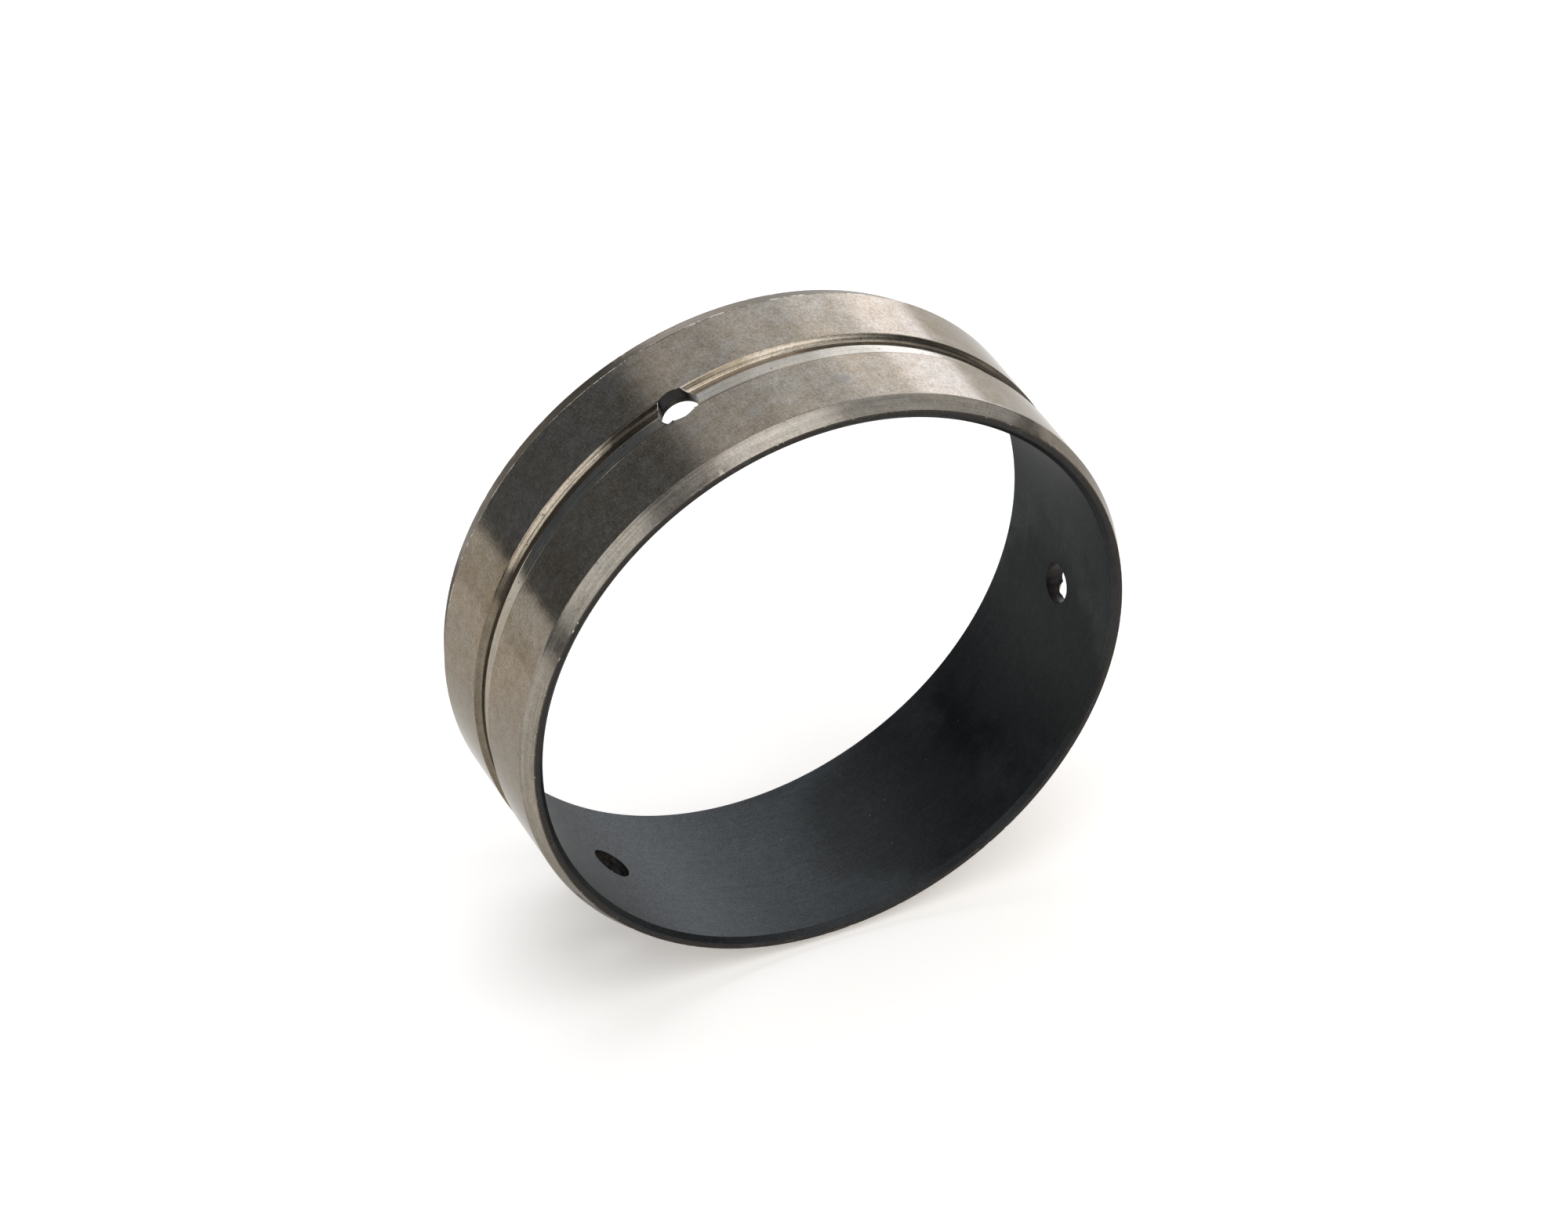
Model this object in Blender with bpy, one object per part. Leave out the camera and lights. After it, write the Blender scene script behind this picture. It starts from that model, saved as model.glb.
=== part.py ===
"""Thin-walled plain bearing bush: grooved steel backing, alloy lining and black running coat.

The bush stands on its outer surface. Its axis is Y, its front end faces -Y, and the origin is
the centre of the bore at mid width. Lengths are in metres and angles in radians.
"""

import math

import bmesh
import bpy
from mathutils import Matrix, Vector

MM = 0.001

# Driving dimensions of the whole bush, with the wall taken from the bore to the outside
BORE_DIAMETER = 55.2 * MM
WALL_THICKNESS = 1.7 * MM
WIDTH = 19.6 * MM

# Layers, from the bore outwards
COAT_THICKNESS = 0.03 * MM
LINING_THICKNESS = 0.5 * MM
BOND_LINE = 0.01 * MM

# Lead-in on the outer edges, and the 45 degree chamfer at each mouth of the bore
LEAD_IN_LENGTH = 1.7 * MM
LEAD_IN_DEPTH = 0.7 * MM
BORE_CHAMFER = 0.45 * MM

# Oil groove round the outside, with sloping walls
GROOVE_WIDTH = 3.0 * MM
GROOVE_DEPTH = 0.5 * MM
GROOVE_WALL_RUN = 0.3 * MM

# Radial oil holes through the groove, at about a third of a turn from each other. Their angles
# start at the top and go clockwise seen from the front.
OIL_HOLE_DIAMETER = 3.7 * MM
OIL_HOLE_ANGLES = (math.radians(-20.6), math.radians(99.9), math.radians(218.4))
DRILL_OVERRUN = 1.0 * MM

# Facets, with a flat one under the bush so that it stands
RING_FACETS = 120
OIL_HOLE_FACETS = 28
SHARP_EDGE_ANGLE = math.radians(12.0)

# Radii and places that follow from the sizes above
OUTER_DIAMETER = BORE_DIAMETER + 2 * WALL_THICKNESS
OUTER_RADIUS = OUTER_DIAMETER / 2
BORE_RADIUS = BORE_DIAMETER / 2
FRONT_END = -WIDTH / 2
COAT_OUTER_RADIUS = BORE_RADIUS + COAT_THICKNESS
LINING_INNER_RADIUS = COAT_OUTER_RADIUS + BOND_LINE
LINING_OUTER_RADIUS = LINING_INNER_RADIUS + LINING_THICKNESS
BACKING_INNER_RADIUS = LINING_OUTER_RADIUS + BOND_LINE
HALF_FACET = math.pi / RING_FACETS

# Radii at which each layer's chamfer meets the end plane
SLANT = math.sqrt(2.0)
COAT_MOUTH_RADIUS = BORE_RADIUS + BORE_CHAMFER
COAT_EDGE_RADIUS = COAT_MOUTH_RADIUS + COAT_THICKNESS * SLANT
LINING_MOUTH_RADIUS = COAT_EDGE_RADIUS + BOND_LINE * SLANT


def clear_scene():
    for old in list(bpy.data.objects):
        bpy.data.objects.remove(old, do_unlink=True)


def make_material(name, colour, roughness, metallic):
    material = bpy.data.materials.new(name)
    material.use_nodes = True
    shader = material.node_tree.nodes["Principled BSDF"]
    shader.inputs["Base Color"].default_value = (*colour, 1.0)
    shader.inputs["Roughness"].default_value = roughness
    shader.inputs["Metallic"].default_value = metallic
    return material


def around(radius, along, angle):
    """A point at a radius from the axis, at a turn from the top towards +X."""
    return Vector((radius * math.sin(angle), along, radius * math.cos(angle)))


def chamfer_end(radius, mouth_radius):
    """Where a bore chamfer with this mouth leaves a cylinder near the front end."""
    return FRONT_END + max(0.0, mouth_radius - radius)


def layer_front(inner_radius, outer_radius, mouth_radius):
    """Front end of a layer, from its inner to its outer surface, cut by the bore chamfer."""
    points = [(inner_radius, chamfer_end(inner_radius, mouth_radius))]
    if inner_radius < mouth_radius < outer_radius:
        points.append((mouth_radius, FRONT_END))
    points.append((outer_radius, chamfer_end(outer_radius, mouth_radius)))
    return points


def both_ends(front_half):
    """Close a section by adding the rear half, the mirror image of the front half."""
    return front_half + [(radius, -along) for radius, along in reversed(front_half)]


def turn(name, section, material):
    """Turn a closed section of (radius, place along the axis) points into a ring."""
    shape = bmesh.new()
    corners = [shape.verts.new(around(radius, along, HALF_FACET)) for radius, along in section]
    sides = [shape.edges.new(pair) for pair in zip(corners, corners[1:] + corners[:1])]
    bmesh.ops.spin(
        shape,
        geom=corners + sides,
        cent=(0.0, 0.0, 0.0),
        axis=(0.0, 1.0, 0.0),
        angle=2 * math.pi,
        steps=RING_FACETS,
        use_merge=True,
    )
    bmesh.ops.recalc_face_normals(shape, faces=shape.faces)
    mesh = bpy.data.meshes.new(name)
    shape.to_mesh(mesh)
    shape.free()
    mesh.shade_smooth()
    mesh.set_sharp_from_angle(angle=SHARP_EDGE_ANGLE)
    mesh.materials.append(material)
    ring = bpy.data.objects.new(name, mesh)
    bpy.context.collection.objects.link(ring)
    return ring


def make_drills():
    """The oil hole drills, one cutter holding a separate cylinder for each hole."""
    start = BORE_RADIUS - DRILL_OVERRUN
    end = OUTER_RADIUS + DRILL_OVERRUN
    shape = bmesh.new()
    for angle in OIL_HOLE_ANGLES:
        place = Matrix.Translation(around((start + end) / 2, 0.0, angle))
        bmesh.ops.create_cone(
            shape,
            cap_ends=True,
            segments=OIL_HOLE_FACETS,
            radius1=OIL_HOLE_DIAMETER / 2,
            radius2=OIL_HOLE_DIAMETER / 2,
            depth=end - start,
            matrix=place @ Matrix.Rotation(angle, 4, "Y"),
        )
    mesh = bpy.data.meshes.new("oil_hole_drills")
    shape.to_mesh(mesh)
    shape.free()
    drills = bpy.data.objects.new("oil_hole_drills", mesh)
    bpy.context.collection.objects.link(drills)
    drills.hide_render = True
    drills.display_type = "WIRE"
    return drills


def drill(ring, drills):
    cut = ring.modifiers.new("oil_holes", "BOOLEAN")
    cut.operation = "DIFFERENCE"
    cut.solver = "EXACT"
    cut.object = drills


def make_steel_backing():
    steel = make_material("steel_backing", (0.36, 0.335, 0.305), 0.38, 1.0)
    front = layer_front(BACKING_INNER_RADIUS, OUTER_RADIUS - LEAD_IN_DEPTH, LINING_MOUTH_RADIUS)
    front.append((OUTER_RADIUS, FRONT_END + LEAD_IN_LENGTH))
    front.append((OUTER_RADIUS, -GROOVE_WIDTH / 2))
    front.append((OUTER_RADIUS - GROOVE_DEPTH, GROOVE_WALL_RUN - GROOVE_WIDTH / 2))
    return turn("steel_backing", both_ends(front), steel)


def make_alloy_lining():
    alloy = make_material("alloy_lining", (0.56, 0.56, 0.57), 0.45, 1.0)
    front = layer_front(LINING_INNER_RADIUS, LINING_OUTER_RADIUS, LINING_MOUTH_RADIUS)
    return turn("alloy_lining", both_ends(front), alloy)


def make_running_coat():
    """The coat lines the bore and folds out over the chamfer at each mouth."""
    coat = make_material("running_coat", (0.03, 0.032, 0.034), 0.55, 0.0)
    front = [
        (COAT_OUTER_RADIUS, chamfer_end(COAT_OUTER_RADIUS, COAT_EDGE_RADIUS)),
        (COAT_EDGE_RADIUS, FRONT_END),
        (COAT_MOUTH_RADIUS, FRONT_END),
        (BORE_RADIUS, chamfer_end(BORE_RADIUS, COAT_MOUTH_RADIUS)),
    ]
    return turn("running_coat", both_ends(front), coat)


def main():
    clear_scene()
    centre = bpy.data.objects.new("bush_centre", None)
    bpy.context.collection.objects.link(centre)
    drills = make_drills()
    drills.parent = centre
    for ring in (make_steel_backing(), make_alloy_lining(), make_running_coat()):
        ring.parent = centre
        drill(ring, drills)


main()
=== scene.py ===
"""Looks of a thin-walled plain bearing bush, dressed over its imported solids.

The bush stands on its outside on a pale floor, as in the photograph. Its axis is Y and its front
end faces -Y. Angles round the axis start at the top and grow towards +X. Lengths are in metres and
angles in radians where no comment says otherwise.
"""

import math
import random
from collections import namedtuple
from types import SimpleNamespace

import bmesh
import bpy
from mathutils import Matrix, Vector, noise
from mathutils.geometry import delaunay_2d_cdt


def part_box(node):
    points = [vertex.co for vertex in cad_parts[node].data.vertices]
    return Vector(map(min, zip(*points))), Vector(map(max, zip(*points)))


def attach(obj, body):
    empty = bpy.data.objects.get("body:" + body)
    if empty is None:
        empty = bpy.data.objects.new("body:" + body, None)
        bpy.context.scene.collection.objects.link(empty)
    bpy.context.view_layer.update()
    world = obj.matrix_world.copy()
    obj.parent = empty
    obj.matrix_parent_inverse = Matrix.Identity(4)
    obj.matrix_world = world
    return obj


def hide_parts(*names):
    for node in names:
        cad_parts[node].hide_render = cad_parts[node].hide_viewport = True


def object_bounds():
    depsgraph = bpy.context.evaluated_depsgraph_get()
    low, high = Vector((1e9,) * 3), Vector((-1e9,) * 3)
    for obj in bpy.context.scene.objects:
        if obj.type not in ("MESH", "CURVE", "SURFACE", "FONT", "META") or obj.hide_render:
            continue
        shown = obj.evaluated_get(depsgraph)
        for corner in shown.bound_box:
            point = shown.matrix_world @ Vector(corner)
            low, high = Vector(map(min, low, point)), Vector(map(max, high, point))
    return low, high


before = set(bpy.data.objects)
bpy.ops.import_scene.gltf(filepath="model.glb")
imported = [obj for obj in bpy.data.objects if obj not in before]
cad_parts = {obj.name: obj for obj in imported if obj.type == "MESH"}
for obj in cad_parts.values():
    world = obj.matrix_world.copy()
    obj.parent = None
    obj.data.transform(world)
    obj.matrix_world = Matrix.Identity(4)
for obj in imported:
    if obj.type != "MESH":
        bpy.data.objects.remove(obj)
CAD_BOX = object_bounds()

MM = 0.001
BODY = "root"

# Sizes of the bush, the outside ones taken from the frame
BACKING_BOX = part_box("steel_backing")
OUTER_RADIUS = BACKING_BOX[1].x
FRONT_END = BACKING_BOX[0].y
FLOOR_HEIGHT = CAD_BOX[0].z
BORE_RADIUS = 27.6 * MM
COAT_THICKNESS = 0.03 * MM
LINING_THICKNESS = 0.5 * MM
BOND_LINE = 0.01 * MM
LEAD_IN_LENGTH = 1.7 * MM
LEAD_IN_DEPTH = 0.7 * MM
BORE_CHAMFER = 0.45 * MM
GROOVE_WIDTH = 3.0 * MM
GROOVE_WALL_RUN = 0.3 * MM
OIL_HOLE_RADIUS = 1.85 * MM
OIL_HOLE_ANGLES = tuple(math.radians(angle) for angle in (-20.6, 99.9, 218.4))

# Radii of the layers, from the bore outwards
COAT_OUTER_RADIUS = BORE_RADIUS + COAT_THICKNESS
LINING_INNER_RADIUS = COAT_OUTER_RADIUS + BOND_LINE
LINING_OUTER_RADIUS = LINING_INNER_RADIUS + LINING_THICKNESS
BACKING_INNER_RADIUS = LINING_OUTER_RADIUS + BOND_LINE
SLANT = math.sqrt(2.0)
COAT_MOUTH_RADIUS = BORE_RADIUS + BORE_CHAMFER
COAT_EDGE_RADIUS = COAT_MOUTH_RADIUS + COAT_THICKNESS * SLANT
LINING_MOUTH_RADIUS = COAT_EDGE_RADIUS + BOND_LINE * SLANT

# Mesh of the rings: columns round the axis, rows along it, and a patch round each oil hole
COLUMNS = 1440
COLUMN_STEP = 2 * math.pi / COLUMNS * OUTER_RADIUS
HOLE_TURNS = [(angle - OIL_HOLE_ANGLES[0]) / (2 * math.pi) for angle in OIL_HOLE_ANGLES]
HOLE_COLUMNS = [round(turn * COLUMNS) for turn in HOLE_TURNS]
ROW_SPACING = 1.2 * MM
PATCH_COLUMNS = 32
PATCH_REACH = 4.0 * MM
MERGE_DISTANCE = 1e-7
ROUND_STEPS = 5
ROUND_SUPPORT = 0.05 * MM
RIM_STEPS = 132
RIM_STEPS_CLEAR = 1 / 3
RIM_RINGS = tuple(reach * MM for reach in (0.025, 0.06, 0.11, 0.18, 0.28, 0.4))
RIM_CLEAR = 0.45 * MM
WALL_STEPS = 10
SHARP_EDGE_ANGLE = math.radians(32.0)

# Edge breaks left by turning and tumbling
END_EDGE_BREAK = 0.06 * MM
LAND_EDGE_BREAK = 0.08 * MM
SHOULDER_BREAK = 0.11 * MM
GROOVE_ROOT = 0.25 * MM
MOUTH_BREAK = 0.03 * MM

# Shallow step that the tool left in the groove's floor, as (depth, along) where it starts and ends
FLOOR_STEP_START = (0.44 * MM, 0.22 * MM)
FLOOR_STEP_END = (0.52 * MM, 0.72 * MM)
FLOOR_STEP_BREAK = 0.12 * MM

# Nicks that handling left along the edges of the backing, with the directions into the steel at the
# front edges as (outwards, along the axis)
NICK_SEED = 11
NICKS_PER_EDGE = 60
NICK_HALF_LENGTH = (0.10 * MM, 0.32 * MM)
NICK_DEPTH = (0.015 * MM, 0.06 * MM)
NICK_DEPTH_POWER = 3
NICK_REACH = 0.10 * MM
END_EDGE_INWARD = (-0.8, 0.6)
SHOULDER_INWARD = (-0.9, -0.45)

# Burrs that the drill left round the oil holes, with a lip over each hole and ears where its rim
# crosses the groove's shoulders
BURR_HEIGHT = 0.02 * MM
BURR_WIDTH = 0.05 * MM
BURR_SHARE = 0.6
BURR_SWING = 0.8
BURR_LEAST = 0.1
BURR_GRAIN = 4.0
BURR_LIPS = (0.025 * MM, 0.17 * MM, 0.07 * MM)
LIP_SWING = 1.3
LIP_GAP = 0.25
LIP_GRAIN = 3.0
HOLE_NOISE_STEP = 5.3
EAR_HEIGHT = 0.07 * MM
EAR_SPREAD = math.radians(5.0)
RIM_BRIGHT = 0.065 * MM
COAT_RIM_BREAK = 0.02 * MM

# Marks of the drill in the walls of the oil holes: their spacing, and their depth in each layer
DRILL_MARK_SPACING = 0.12 * MM
BACKING_DRILL_MARKS = 0.02 * MM
LINING_DRILL_MARKS = 0.01 * MM
COAT_DRILL_MARKS = 0.002 * MM

# Camera at the photograph's viewing angle
SENSOR_WIDTH = 36.0
LENS = 162.0
VIEW_AZIMUTH = math.radians(-25.58)
VIEW_ELEVATION = math.radians(38.35)
VIEW_DISTANCE = 624.6 * MM
AIM_RIGHT = -0.0465 * MM
AIM_UP = 0.868 * MM
CLIP_START = 0.05
CLIP_END = 20.0

# Floor, turned by an eighth of a turn, with its reach to the back left and to the other three sides
FLOOR_TURN = math.radians(45.0)
FLOOR_BACK_LEFT = 0.6
FLOOR_REACH = 1.2
FLOOR_COLOUR = (0.95, 0.915, 0.87)
FLOOR_ROUGHNESS = 0.9
FLOOR_GLOW_COLOUR = (1.0, 0.97, 0.93)
FLOOR_GLOW = 0.29

# Soft boxes of the studio: azimuth of the middle and half width, from +Y towards +X, lowest and highest
# elevation, softness of the edges, all in degrees, and brightness
SOFT_BOXES = {
    "overhead": (0.0, 180.0, 75.0, 95.0, 3.0, 1.5),
    "overhead_right": (90.0, 62.0, 66.0, 95.0, 4.0, 1.4),
    "dome": (0.0, 180.0, 50.0, 95.0, 7.0, 0.28),
    "left": (-92.0, 34.0, 7.5, 49.0, 3.5, 1.14),
    "right": (84.0, 24.0, 4.5, 66.0, 5.0, 0.64),
    "back_high": (-5.0, 58.0, 60.0, 73.0, 3.0, 3.4),
    "back_low": (22.0, 37.5, 26.0, 60.0, 10.0, 0.74),
    "back_middle": (36.0, 26.0, 18.0, 50.0, 9.0, 1.05),
    "back_right": (46.0, 19.0, 4.0, 34.0, 8.0, 1.65),
    "window": (45.0, 18.0, -10.0, 18.5, 7.0, 2.85),
    "horizon": (20.0, 14.0, -6.0, 8.0, 4.0, 3.2),
    "back_left": (-8.0, 9.0, 7.0, 18.0, 2.0, 2.4),
    "front_left": (-153.0, 9.5, -12.0, 30.0, 4.0, 2.1),
    "front_right": (158.0, 13.5, 8.0, 36.0, 6.0, 2.0),
    "front_high": (180.0, 70.0, 44.0, 90.0, 7.0, 1.7),
}

# Colours of the studio, which is bluer where it is bright, dark between the boxes and white below
STUDIO_TINT = (0.97, 1.0, 1.03)
STUDIO_BRIGHT_TINT = (0.97, 0.995, 1.08)
STUDIO_BRIGHT = (1.2, 2.8)
STUDIO_DARK = (0.100, 0.113, 0.126)
STUDIO_DARK_BELOW = 0.28
STUDIO_GROUND = (1.0, 1.0, 1.0)
STUDIO_GROUND_EDGE = math.radians(-5.0)
STUDIO_GROUND_SOFT = 0.01

# Tinted patches on the surfaces, most of them painted shade that dims the reflections in them: angle in
# degrees, size in millimetres and how much of each colour they let through
# Painted shade on the lower left near the floor, for the shadow under the bush that the steel mirrors
UNDERSIDE_PAINTED_SHADE = (-138.0, 11.5, (0.32, 0.2945, 0.269))
# Painted shade on the land and the groove's floor, on the left side, the lower left and the upper right
STEEL_PAINTED_SHADES = (
    (-112.0, 28.0, (0.715, 0.695, 0.650)),
    UNDERSIDE_PAINTED_SHADE,
    (60.0, 12.0, (0.78, 0.73, 0.65)),
)
# Painted shade on the front lead-in, on the left side, the lower left and the upper right
LEAD_IN_PAINTED_SHADES = (
    (-112.0, 28.0, (0.640, 0.650, 0.645)),
    UNDERSIDE_PAINTED_SHADE,
    (60.0, 15.0, (0.475, 0.47, 0.46)),
)
# Painted shade as on the front lead-in, and near the top painted shade that dims the highlight of the
# land's edge
LAND_EDGE_PAINTED_SHADES = LEAD_IN_PAINTED_SHADES + ((-11.0, 12.0, (0.48, 0.46, 0.44)),)
# Painted shade on the rear lead-in, on its upper left
REAR_LEAD_IN_PAINTED_SHADES = ((-44.0, 14.0, (0.30, 0.27, 0.24)),)
# Painted shade on the groove's walls, on the left, the upper left and the upper right, with a painted
# shadow beside the first oil hole
GROOVE_WALL_PAINTED_SHADES = (
    (-112.0, 28.0, (0.71, 0.71, 0.69)),
    UNDERSIDE_PAINTED_SHADE,
    (-90.0, 13.5, (0.46, 0.465, 0.46)),
    (-64.5, 2.6, (0.30, 0.30, 0.31)),
    # Painted shadow beside the first oil hole
    (-27.5, 3.8, (0.18, 0.175, 0.17)),
    (-11.0, 3.5, (0.696, 0.664, 0.616)),
    (46.0, 12.0, (0.345, 0.345, 0.345)),
    (62.0, 8.0, (0.44, 0.455, 0.475)),
)
# Painted shade on the groove's root and front shoulder, and near the top a painted highlight
ROOT_PAINTED_SHADES_AND_HIGHLIGHT = STEEL_PAINTED_SHADES[:2] + (
    (60.0, 13.0, (0.60, 0.63, 0.68)),
    # Painted highlight
    (-9.0, 6.0, (2.2, 2.2, 2.2)),
)
# A darker patch on the wall of the third oil hole
DRILL_DARKER_PATCH = ((math.degrees(OIL_HOLE_ANGLES[2]), 5.0, (0.30, 0.29, 0.27)),)
# Painted shade on the coat, on the lower right of the bore
COAT_PAINTED_SHADES = (
    (115.0, 12.5, (0.63, 0.63, 0.63)),
    (154.0, 10.5, (0.68, 0.68, 0.68)),
)

# Darker bands along the land, given as tinted patches
LAND_BANDS = ((-64.5, 3.4, (0.776, 0.768, 0.736)),)

# Stains on the land: angle in degrees, place along the axis and size in millimetres, strength and colour
LAND_STAINS = (
    (-10.6, -5.4, 0.75, 0.45, (0.36, 0.355, 0.335)),
    (6.5, -4.9, 1.0, 0.5, (0.225, 0.218, 0.228)),
    (-60.0, 4.6, 1.3, 0.4, (0.235, 0.20, 0.155)),
    (-33.0, -3.2, 1.1, 0.35, (0.235, 0.20, 0.158)),
)

# Edges of covered patches and of stains in units of their size: how far a noise breaks them, and where
# they fade
COVER_EDGE = (1.2, 1.3, 1.8)
STAIN_EDGE = (2.4, 1.1, 2.5)

# Film that dulls the rear lead-in: angle in degrees, size in millimetres and added roughness
REAR_MATT_FILM = (-90.0, 14.0, 0.5)

# Share of the mirror light that steel keeps at a grazing view: on most surfaces, on duller ones, and
# in a patch of painted shade on the front lead-in near the floor, given with its angle in degrees and size
# in millimetres
STEEL_GRAZING = (0.66, 0.65, 0.63)
DULL_GRAZING = (0.62, 0.61, 0.59)
# The patch paints the shadow under the bush that the lead-in mirrors
LEAD_IN_GRAZING_SHADE = (-146.0, 13.0, (0.22, 0.22, 0.21))

# Recipes of the materials. Noises: scale per millimetre, detail and roughness. Drawn noises: lengths
# round the ring and along the axis in millimetres. Tones, swings and heights: how much each noise
# counts. Limits: values where a change starts and ends, some with the results there. Specks: spacing
# and size in millimetres, share of cells that hold one, strength and colour.


class Recipe(SimpleNamespace):
    """Values of a material, here those that most recipes share."""

    drawn = {}
    tone = {"cloud": 1.0}


LAND = Recipe(
    noises={
        "cloud": (0.16, 4.0, 0.6),
        "mottle": (0.9, 4.0, 0.62),
        "grain": (4.6, 3.0, 0.7),
        "fine_grain": (8.5, 2.0, 0.6),
    },
    drawn={"lines": (2.6, 0.12), "streaks": (0.13, 0.9)},
    tone={"cloud": 0.55, "mottle": 0.45},
    tone_limits=(0.38, 0.62),
    light=(0.324, 0.271, 0.213),
    dark=(0.309, 0.279, 0.243),
    swing={"grain": 1.4, "fine_grain": 0.5, "mottle": 0.75, "streaks": 0.5, "lines": 0.4},
    spots=(1.7, 0.16, 0.12, 0.5, (0.12, 0.085, 0.055)),
    roughness=0.143,
    roughness_swing={"mottle": 0.06, "grain": 0.05, "cloud": 0.04},
    metal_limits=(0.36, 0.64, 0.84, 1.0),
    height={"grain": 0.55, "lines": 0.5, "streaks": 0.4},
    bump=0.0035 * MM,
)
TURNED = Recipe(
    noises={"cloud": (0.22, 4.0, 0.6), "mottle": (1.3, 3.0, 0.6), "grain": (5.0, 3.0, 0.65)},
    line_length=9.0,
    wide_line_length=14.0,
    wide_line_spacing=3.2,
    tone_limits=(0.36, 0.64),
    swing={"lines": 0.5, "wide_lines": 0.45, "mottle": 0.32, "grain": 0.6},
    pits=(0.8, 0.14, 0.14, 0.6, (0.09, 0.06, 0.035)),
    roughness_swing={"mottle": 0.08, "lines": 0.06},
    height={"lines": 0.6, "wide_lines": 0.5, "grain": 0.3, "pits": -0.6},
)
WORN = Recipe(
    noises={"wear": (0.8, 4.0, 0.65), "grain": (6.0, 3.0, 0.6)},
    rubbed={"wear": 0.6, "grain": 0.4},
    rubbed_start=0.62,
    rubbed_range=0.24,
    rubbed_fade=0.08,
    bright=(0.62, 0.585, 0.53),
    roughness_limits=(0.35, 0.65),
    roughness_swing=0.08,
    bump=0.006 * MM,
)
END_FACE = Recipe(
    noises={"cloud": (0.3, 4.0, 0.6), "grain": (4.0, 4.0, 0.65)},
    tone_limits=(0.35, 0.65),
    light=(0.024, 0.0190, 0.0145),
    dark=(0.019, 0.0175, 0.0160),
    swing={"grain": 0.9},
    scuffs={"cloud": 0.55, "grain": 0.45},
    scuff_limits=(0.54, 0.62),
    scuff_strength=0.35,
    scuff_colour=(0.10, 0.085, 0.065),
    roughness_limits=(0.0, 1.0, 0.5, 0.36),
    specular=0.2,
    bump=0.006 * MM,
)
DRILLED = Recipe(
    noises={"cloud": (0.75, 4.0, 0.6), "grain": (6.0, 3.0, 0.6)},
    tone_limits=(0.58, 0.70),
    dark=(0.014, 0.0122, 0.0115),
    brown=(0.066, 0.050, 0.036),
    swing={"grain": 0.9},
    marks="grain",
    roughness_limits=(0.3, 0.7, 0.24, 0.4),
    metal=0.6,
    specular=0.4,
    bump=0.008 * MM,
)
ALLOY = Recipe(
    noises={"cloud": (0.8, 4.0, 0.6)},
    drawn={"lines": (4.0, 0.15)},
    tone_limits=(0.4, 0.62),
    dark=(0.018, 0.016, 0.014),
    brown=(0.042, 0.036, 0.029),
    swing={"lines": 0.0},
    marks="lines",
    roughness_limits=(0.3, 0.7, 0.36, 0.5),
    metal=0.9,
    specular=0.5,
    bump=0.004 * MM,
)
COAT = Recipe(
    noises={"cloud": (0.14, 4.0, 0.6), "mottle": (1.4, 3.0, 0.6), "speckle": (5.5, 4.0, 0.7)},
    drawn={"lines": (5.0, 0.16)},
    tone_limits=(0.35, 0.65),
    lighter=1.12,
    swing={"speckle": 1.15, "mottle": 0.4, "lines": 0.4},
    roughness_swing={"speckle": 0.16, "cloud": 0.05},
    height={"speckle": 0.7, "lines": 0.3, "dust": 0.4},
    grazing=(0.5, 0.5, 0.5),
    bump=0.03 * MM,
)

# Dust on the coat: a dusty part given as a film, how much lighter it is and how far it hides the sheen,
# and for the specks their colour and their spacing, size, multiple of the share and strength
DUST_FILM = (-152.0, 18.0)
DUST_LIGHTER = 1.12
DUST_HIDES_LIMITS = (0.35, 0.65, 0.05, 0.45)
DUST_COLOUR = (0.30, 0.29, 0.26)
DUST_SPECKS = ((2.3, 0.09, 1, 0.8), (0.9, 0.08, 4, 0.36))

# Scale, detail and roughness of drawn noises, and the share of a speck's radius where it is full
DRAWN_NOISE = (1.0, 2.0, 0.6)
SPECK_FULL = 0.6

# Sockets of the mix node that take a share and two colours, and the one that gives their mix
MIX_INPUTS = (0, 6, 7)
MIX_OUTPUT = 2

# Finishes of the turned surfaces, with line spacing and height in millimetres
TurnedFinish = namedtuple("TurnedFinish", "light dark roughness line_spacing line_height contrast")
LEAD_IN_FINISH = TurnedFinish((0.376, 0.330, 0.274), (0.341, 0.305, 0.260), 0.20, 0.13, 0.007, 1.5)
# Painted shade: a darker copy of the front lead-in's steel, for the dimmer reflection in the rear lead-in
REAR_LEAD_IN_SHADED_FINISH = TurnedFinish((0.128, 0.107, 0.084), (0.113, 0.098, 0.081), 0.22, 0.13, 0.008, 1.5)
GROOVE_WALL_FINISH = TurnedFinish((0.470, 0.398, 0.308), (0.410, 0.342, 0.260), 0.24, 0.06, 0.008, 1.8)
GROOVE_FLOOR_FINISH = TurnedFinish((0.458, 0.419, 0.364), (0.432, 0.402, 0.360), 0.15, 0.16, 0.005, 1.1)
ROOT_FINISH = TurnedFinish((0.150, 0.120, 0.088), (0.120, 0.102, 0.080), 0.26, 0.08, 0.006, 1.4)

# Finishes of the worn edges, with the share of their length that is rubbed bright
WornFinish = namedtuple("WornFinish", "dark bright_share roughness")
EDGE_FINISH = WornFinish((0.085, 0.070, 0.054), 0.2, 0.3)
REAR_EDGE_FINISH = WornFinish((0.17, 0.145, 0.112), 0.5, 0.26)
RIM_FINISH = WornFinish((0.20, 0.168, 0.130), 0.6, 0.26)

# Finishes of the coat, with the share of cells that hold a speck and the strength of the dusty part
CoatFinish = namedtuple("CoatFinish", "shade roughness dust_share dust_film")
BORE_FINISH = CoatFinish((0.0445, 0.0475, 0.0485), 0.40, 0.035, 1.0)
MOUTH_FINISH = CoatFinish((0.033, 0.034, 0.034), 0.38, 0.02, 0.3)


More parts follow.
